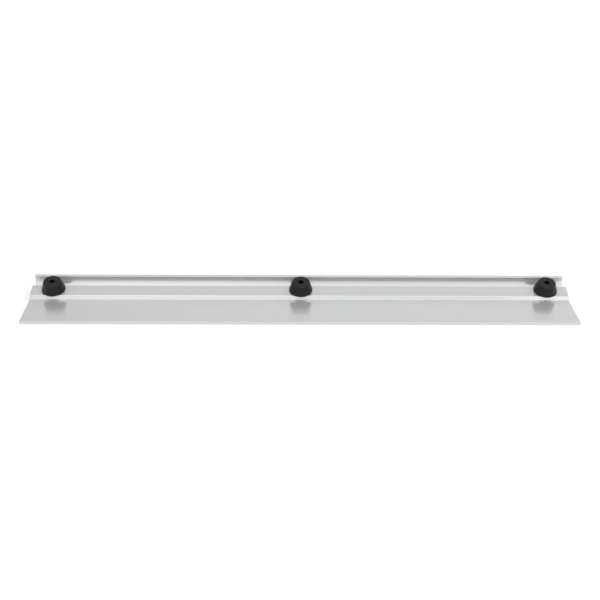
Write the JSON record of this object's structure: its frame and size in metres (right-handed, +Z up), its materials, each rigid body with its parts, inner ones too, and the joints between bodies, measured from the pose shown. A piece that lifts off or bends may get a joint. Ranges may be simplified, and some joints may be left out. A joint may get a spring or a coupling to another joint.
{
  "type": "bull float",
  "caption": "Long extruded aluminium float blade with a flat sole, a raised hollow rib, a lipped rear wall and conical rubber buffers screwed along the rib.",
  "frame": {"origin": "centre of the flat sole, at the bottom of the bounding box", "axes": "+X along the blade, +Y from the front edge towards the rear wall, +Z up out of the sole"},
  "size_m": [0.914, 0.1296, 0.0355],
  "materials": {
    "mill_aluminium": "satin mill finish, grain along the length",
    "black_rubber": "moulded, semi-matt",
    "zinc_plated_steel": "bright zinc plate",
    "black_oxide_steel": "black oxide"
  },
  "bodies": {
    "root": {"blade_profile": "mill_aluminium", "buffer_left": "black_rubber", "buffer_insert_left": "zinc_plated_steel", "spring_washer_left": "zinc_plated_steel", "socket_screw_left": "black_oxide_steel", "rivet_nut_left": "zinc_plated_steel", "buffer_center": "black_rubber", "buffer_insert_center": "zinc_plated_steel", "spring_washer_center": "zinc_plated_steel", "socket_screw_center": "black_oxide_steel", "rivet_nut_center": "zinc_plated_steel", "buffer_right": "black_rubber", "buffer_insert_right": "zinc_plated_steel", "spring_washer_right": "zinc_plated_steel", "socket_screw_right": "black_oxide_steel", "rivet_nut_right": "zinc_plated_steel"}
  },
  "joints": []
}
